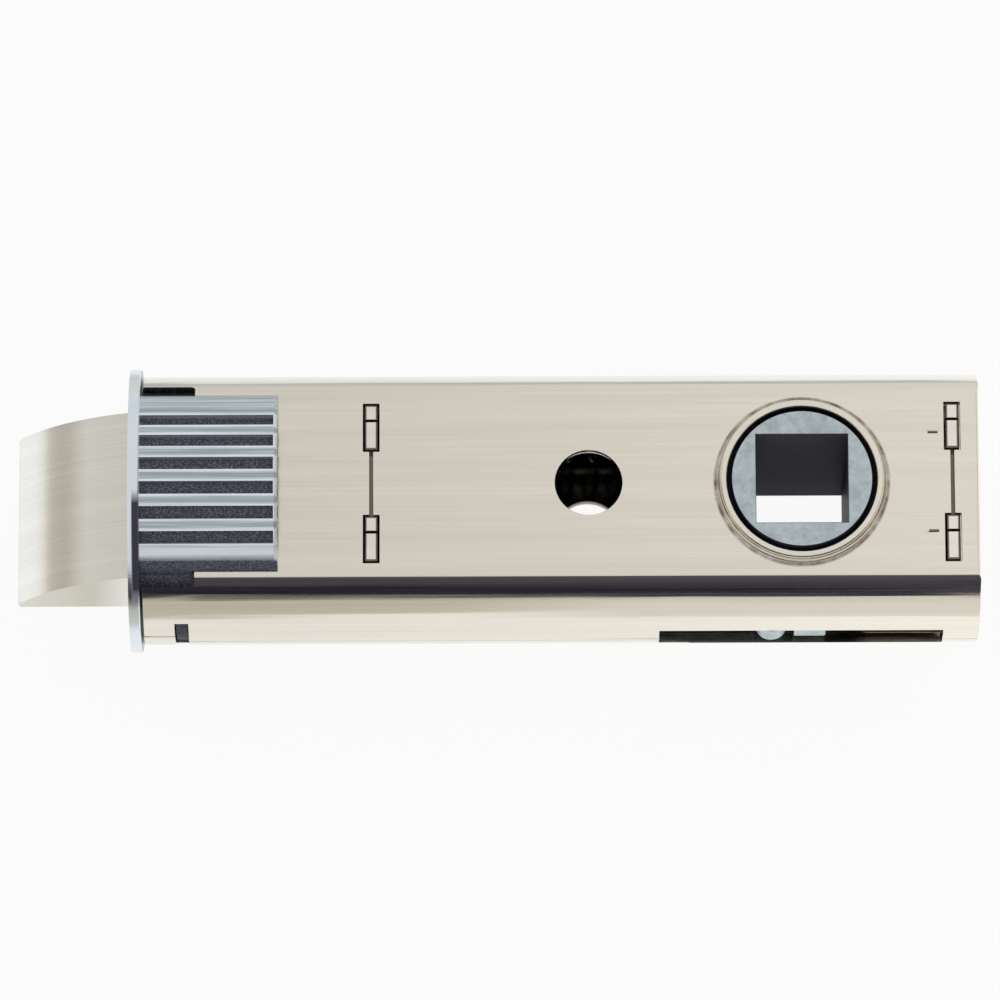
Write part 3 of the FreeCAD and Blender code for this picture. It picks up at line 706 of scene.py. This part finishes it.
class LATCH_OT_case(bpy.types.Operator):
    """Dress the rolled sheet-steel case"""
    bl_idname = "latch.case"
    bl_label = "Case tube"

    def execute(self, context):
        sizes = context.scene.latch_sizes
        colours = context.scene.latch_colours
        nickel = satin_nickel("satin nickel plate, brushed", (colours.nickel, colours.nickel_rear_lit),
                              (sizes.tone_front, sizes.tone_rear), line=sizes.brush_line,
                              rise=sizes.brush_line, darkest=0.92, tarnish_and_shade=case_painted_shade)
        dress("case_tube", "case", nickel, sizes.sheet_edge, cuts=CASE_CUTS, clamp=False)
        return {"FINISHED"}


class LATCH_OT_collar(bpy.types.Operator):
    """Dress the ribbed drive-in collar"""
    bl_idname = "latch.collar"
    bl_label = "Drive-in collar"

    def execute(self, context):
        sizes = context.scene.latch_sizes
        dress("drive_in_collar", "case", ribbed_zinc("zinc die casting, ribbed"),
              sizes.casting_edge)
        return {"FINISHED"}


class LATCH_OT_bolt(bpy.types.Operator):
    """Dress the bolt with its draw rod, pin and clip"""
    bl_idname = "latch.bolt"
    bl_label = "Latch bolt"

    def execute(self, context):
        sizes = context.scene.latch_sizes
        colours = context.scene.latch_colours
        # The tones run from the painted highlight on the nose to the plate at the flange.
        nickel = satin_nickel("satin nickel plate, ground", (colours.bolt_nose_lit, colours.bolt_nickel),
                              (-sizes.nose, 0.0), line=1.2 * sizes.brush_line,
                              rise=400 * sizes.brush_line, darkest=0.9)
        steel = plated_steel("zinc-plated steel rod")
        dress("latch_bolt", "bolt", nickel, sizes.bolt_edge)
        for node in ("bolt_cross_pin", "draw_rod", "draw_rod_clip"):
            dress(node, "bolt", steel, sizes.plate_edge)
        return {"FINISHED"}


class LATCH_OT_hub(bpy.types.Operator):
    """Dress the cast hub"""
    bl_idname = "latch.hub"
    bl_label = "Hub"

    def execute(self, context):
        sizes = context.scene.latch_sizes
        zinc = mottled_zinc("zinc die casting, mottled", patch=0.9 * MM, painted_shade=socket_shade)
        dress("hub", "follower", zinc, sizes.casting_edge)
        return {"FINISHED"}


class LATCH_OT_forks(bpy.types.Operator):
    """Dress the retractor fork and the return fork"""
    bl_idname = "latch.forks"
    bl_label = "Forks"

    def execute(self, context):
        sizes = context.scene.latch_sizes
        zinc = mottled_zinc("zinc die casting, plain", patch=1.6 * MM)
        steel = plated_steel("zinc-plated steel fork")
        dress("retractor_fork", "bolt", zinc, sizes.casting_edge)
        dress("return_fork", "return_slider", steel, sizes.plate_edge)
        return {"FINISHED"}


class LATCH_OT_plates(bpy.types.Operator):
    """Dress the two bulkheads and the spring guide pins"""
    bl_idname = "latch.plates"
    bl_label = "Bulkheads and pins"

    def execute(self, context):
        sizes = context.scene.latch_sizes
        colours = context.scene.latch_colours
        nickel = satin_nickel("satin nickel plate, staked", (colours.tab_nickel, colours.tab_rear_lit),
                              (sizes.tone_front, sizes.tone_rear), line=sizes.brush_line,
                              rise=sizes.brush_line, darkest=0.92, tarnish_and_shade=stake_slot_shade)
        steel = plated_steel("zinc-plated steel pin")
        tab_face = sizes.tab_top - 0.05 * MM
        for node in ("front_bulkhead", "rear_bulkhead"):
            dress(node, "case", nickel, sizes.tab_edge, sharp=75, above=tab_face)
        for node in ("spring_guide_pin_left", "spring_guide_pin_right"):
            dress(node, "case", steel, sizes.plate_edge)
        return {"FINISHED"}


class LATCH_OT_springs(bpy.types.Operator):
    """Wind the bolt spring and the two return springs"""
    bl_idname = "latch.springs"
    bl_label = "Springs"

    def execute(self, context):
        sizes = context.scene.latch_sizes
        wire = spring_wire_painted_dark("drawn spring steel")
        bolt_spring = wind_spring("bolt_spring", sizes.bolt_wire, sizes.bolt_coil, turns=6, material=wire)
        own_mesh(bolt_spring)
        for side in ("left", "right"):
            node = "return_spring_" + side
            spring = wind_spring(node, sizes.return_wire, sizes.return_coil, turns=10, material=wire)
            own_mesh(spring)
        return {"FINISHED"}


# Stage

def set_stops(ramp, stops):
    """Gives a colour ramp its stops, each a position and an sRGB hex value."""
    while len(ramp.elements) > 1:
        ramp.elements.remove(ramp.elements[-1])
    ramp.elements[0].position = stops[0][0]
    ramp.elements[0].color = opaque(linear(stops[0][1]))
    for position, hex_code in stops[1:]:
        ramp.elements.new(position).color = opaque(linear(hex_code))


def mirrored_bands(tree, axes):
    """What polished metal sees of the floor beside the case: the dim room and beige board in front, a
    white strip under it, and pale board behind, past the strip's bluish edge."""
    front, back = -200 * MM, 100 * MM
    left, right = 28 * MM, 46 * MM
    slope = 1.2
    across = add_node(tree, "ShaderNodeMapRange",
                      {"Value": axes.outputs["Y"], "From Min": front, "From Max": back})
    in_front = add_node(tree, "ShaderNodeMath", {0: axes.outputs["Y"], 1: 0.0}, operation="LESS_THAN")
    along = add_node(tree, "ShaderNodeMath",
                     {0: axes.outputs["X"], 1: in_front.outputs["Value"]}, operation="MULTIPLY")
    slant = add_node(tree, "ShaderNodeMath",
                     {0: along.outputs["Value"], 1: slope, 2: across.outputs["Result"]},
                     operation="MULTIPLY_ADD")
    leftward = add_node(tree, "ShaderNodeValToRGB", {"Fac": slant.outputs["Value"]})
    rightward = add_node(tree, "ShaderNodeValToRGB", {"Fac": across.outputs["Result"]})
    behind = ((0.552, "#FFFFFF"), (0.776, "#FFFFFF"), (0.785, "#A9B4C0"), (0.795, "#A9B4C0"),
              (0.805, "#DFDEDA"))
    set_stops(leftward.color_ramp, ((0.17, "#262632"), (0.185, "#CAC6BB"), (0.54, "#CAC6BB"), *behind))
    set_stops(rightward.color_ramp, ((0.17, "#262632"), (0.185, "#D8D3D0"), (0.54, "#E4E1DD"), *behind))
    share = add_node(tree, "ShaderNodeMapRange",
                     {"Value": axes.outputs["X"], "From Min": left, "From Max": right})
    return add_node(tree, "ShaderNodeMix",
                    {"Factor": share.outputs["Result"], "A": leftward.outputs["Color"],
                     "B": rightward.outputs["Color"]}, data_type="RGBA").outputs["Result"]


def mirrored_end(tree, axes):
    """What the bolt's nose sees of the floor beyond it: white close by and beige further off. Gives the
    colour, and where it holds."""
    far_off = -400 * MM
    near_row, near_row_full = -60 * MM, -40 * MM
    tip_side, tip_side_full = -1 * MM, -4 * MM
    endward = add_node(tree, "ShaderNodeMapRange",
                       {"Value": axes.outputs["X"], "From Min": far_off, "From Max": 0.0})
    end = add_node(tree, "ShaderNodeValToRGB", {"Fac": endward.outputs["Result"]})
    set_stops(end.color_ramp, ((0.0, "#CBC2B8"), (0.6, "#DAD5CD"), (0.87, "#FFFFFF"), (0.93, "#FFFFFF"),
                               (0.965, "#EBE9E2"), (0.985, "#DEDCD2"), (1.0, "#D3D0C4")))
    nearby = add_node(tree, "ShaderNodeMapRange",
                      {"Value": axes.outputs["Y"], "From Min": near_row, "From Max": near_row_full})
    beyond = add_node(tree, "ShaderNodeMapRange",
                      {"Value": axes.outputs["X"], "From Min": tip_side, "From Max": tip_side_full,
                       "To Max": nearby.outputs["Result"]})
    return end.outputs["Color"], beyond.outputs["Result"]


def studio_floor(name):
    """Painted board: near-white to the eye with a soft shadow, and banded where polished metal sees it."""
    colours = bpy.context.scene.latch_colours
    strip_front, strip_full = -50 * MM, -30 * MM
    material, output = new_material(name)
    tree = material.node_tree
    place = add_node(tree, "ShaderNodeTexCoord").outputs["Object"]
    axes = add_node(tree, "ShaderNodeSeparateXYZ", {"Vector": place})
    end, beyond = mirrored_end(tree, axes)
    ground = add_node(tree, "ShaderNodeMix",
                      {"Factor": beyond, "A": mirrored_bands(tree, axes), "B": end}, data_type="RGBA")
    lit = add_node(tree, "ShaderNodeBsdfDiffuse", {"Color": opaque(colours.floor)})
    white = add_node(tree, "ShaderNodeEmission", {"Color": (1.0, 1.0, 1.0, 1.0), "Strength": 1.0})
    seen = add_node(tree, "ShaderNodeMixShader",
                    {"Fac": 0.08, 1: white.outputs["Emission"], 2: lit.outputs["BSDF"]})
    glow = add_node(tree, "ShaderNodeEmission", {"Color": ground.outputs["Result"], "Strength": 1.0})
    strip = add_node(tree, "ShaderNodeMapRange",
                     {"Value": axes.outputs["Y"], "From Min": strip_front, "From Max": strip_full,
                      "To Max": 0.12})
    mirrored = add_node(tree, "ShaderNodeMixShader",
                        {"Fac": strip.outputs["Result"], 1: glow.outputs["Emission"], 2: lit.outputs["BSDF"]})
    ray = add_node(tree, "ShaderNodeLightPath")
    bounced = add_node(tree, "ShaderNodeMixShader",
                       {"Fac": ray.outputs["Is Camera Ray"], 1: lit.outputs["BSDF"],
                        2: seen.outputs["Shader"]})
    surface = add_node(tree, "ShaderNodeMixShader",
                       {"Fac": ray.outputs["Is Glossy Ray"], 1: bounced.outputs["Shader"],
                        2: mirrored.outputs["Shader"]})
    tree.links.new(surface.outputs["Shader"], output.inputs["Surface"])
    return material


def studio_world():
    """A soft white tent overhead, open and dark low down in front and a little warm at the ends."""
    world = bpy.data.worlds.new("soft tent")
    bpy.context.scene.world = world
    world.use_nodes = True
    tree = world.node_tree
    tree.nodes.clear()
    direction = add_node(tree, "ShaderNodeTexCoord").outputs["Generated"]
    axes = add_node(tree, "ShaderNodeSeparateXYZ", {"Vector": direction})
    front = add_node(tree, "ShaderNodeValToRGB", {"Fac": axes.outputs["Z"]})
    back = add_node(tree, "ShaderNodeValToRGB", {"Fac": axes.outputs["Z"]})
    ends = add_node(tree, "ShaderNodeValToRGB", {"Fac": axes.outputs["Z"]})
    set_stops(front.color_ramp, ((0.0, "#22222E"), (0.055, "#22222E"), (0.075, "#484550"), (0.28, "#4A4750"),
                                 (0.4, "#DDDCDA"), (1.0, "#E1E0DE")))
    set_stops(back.color_ramp, ((0.0, "#DADDE0"), (0.4, "#E1E1E0"), (1.0, "#E1E0DE")))
    set_stops(ends.color_ramp, ((0.0, "#C1B7AD"), (0.1, "#B9AEA3"), (0.2, "#BDB2A8"), (0.38, "#DEDBD8"),
                                (1.0, "#E1E0DE")))
    frontward = add_node(tree, "ShaderNodeMapRange",
                         {"Value": axes.outputs["Y"], "From Min": -0.35, "From Max": -0.7})
    backward = add_node(tree, "ShaderNodeMapRange",
                        {"Value": axes.outputs["Y"], "From Min": 0.2, "From Max": 0.6})
    open_front = add_node(tree, "ShaderNodeMix",
                          {"Factor": frontward.outputs["Result"], "A": ends.outputs["Color"],
                           "B": front.outputs["Color"]}, data_type="RGBA")
    tent = add_node(tree, "ShaderNodeMix",
                    {"Factor": backward.outputs["Result"], "A": open_front.outputs["Result"],
                     "B": back.outputs["Color"]}, data_type="RGBA")
    light = add_node(tree, "ShaderNodeBackground", {"Color": tent.outputs["Result"], "Strength": 1.0})
    white = add_node(tree, "ShaderNodeBackground", {"Color": (1.0, 1.0, 1.0, 1.0), "Strength": 1.0})
    ray = add_node(tree, "ShaderNodeLightPath")
    sky = add_node(tree, "ShaderNodeMixShader",
                   {"Fac": ray.outputs["Is Camera Ray"], 1: light.outputs["Background"],
                    2: white.outputs["Background"]})
    output = add_node(tree, "ShaderNodeOutputWorld")
    tree.links.new(sky.outputs["Shader"], output.inputs["Surface"])


def lay_floor():
    """A broad board under the lowest point of the latch."""
    floor_side = 4.0
    bpy.ops.object.select_all(action="DESELECT")
    bpy.ops.mesh.primitive_plane_add(size=floor_side, location=(0, 0, 0))
    floor = bpy.context.object
    floor.name = "floor"
    bpy.ops.object.mode_set(mode="EDIT")
    bpy.ops.mesh.select_all(action="SELECT")
    bpy.ops.transform.translate(value=(0, 0, cad_box[0][2]))
    bpy.ops.object.mode_set(mode="OBJECT")
    floor.data.materials.append(studio_floor("painted board"))


def place_camera():
    """A long lens that looks down on the flat from above the near narrow side."""
    elevation = math.radians(73.4)
    roll = math.radians(0.2)
    aim = Vector((33.1, 0.85, 0.27)) * MM
    distance = 975 * MM
    away = Vector((0, -math.cos(elevation), math.sin(elevation)))
    camera = bpy.data.objects.new("camera", bpy.data.cameras.new("camera"))
    bpy.context.scene.collection.objects.link(camera)
    camera.data.sensor_width = 36.0
    camera.data.lens = 390.6
    camera.data.clip_start = 0.01
    camera.data.clip_end = 10.0
    turn = away.to_track_quat("Z", "Y").to_matrix().to_4x4() @ Matrix.Rotation(-roll, 4, "Z")
    camera.matrix_world = Matrix.Translation(aim + away * distance) @ turn
    bpy.context.scene.camera = camera


class LATCH_OT_stage(bpy.types.Operator):
    """Lay the floor, hang the soft light and place the camera"""
    bl_idname = "latch.stage"
    bl_label = "Stage"

    def execute(self, context):
        lay_floor()
        studio_world()
        place_camera()
        context.scene.view_settings.view_transform = "Standard"
        return {"FINISHED"}


class LATCH_PT_panel(bpy.types.Panel):
    """Pieces of the latch, in the order in which they are built"""
    bl_idname = "LATCH_PT_panel"
    bl_label = "Tubular door latch"
    bl_space_type = "VIEW_3D"
    bl_region_type = "UI"
    bl_category = "Latch"

    def draw(self, context):
        for operator in OPERATORS:
            self.layout.operator(operator.bl_idname)


OPERATORS = (
    LATCH_OT_case,
    LATCH_OT_collar,
    LATCH_OT_bolt,
    LATCH_OT_hub,
    LATCH_OT_forks,
    LATCH_OT_plates,
    LATCH_OT_springs,
    LATCH_OT_stage,
)
CLASSES = (LatchSizes, LatchColours, *OPERATORS, LATCH_PT_panel)


def register():
    for cls in CLASSES:
        bpy.utils.register_class(cls)
    bpy.types.Scene.latch_sizes = bpy.props.PointerProperty(type=LatchSizes)
    bpy.types.Scene.latch_colours = bpy.props.PointerProperty(type=LatchColours)


def unregister():
    del bpy.types.Scene.latch_colours
    del bpy.types.Scene.latch_sizes
    for cls in reversed(CLASSES):
        bpy.utils.unregister_class(cls)


def main():
    register()
    bpy.ops.latch.case()
    bpy.ops.latch.collar()
    bpy.ops.latch.bolt()
    bpy.ops.latch.hub()
    bpy.ops.latch.forks()
    bpy.ops.latch.plates()
    bpy.ops.latch.springs()
    bpy.ops.latch.stage()


if __name__ == "__main__":
    main()
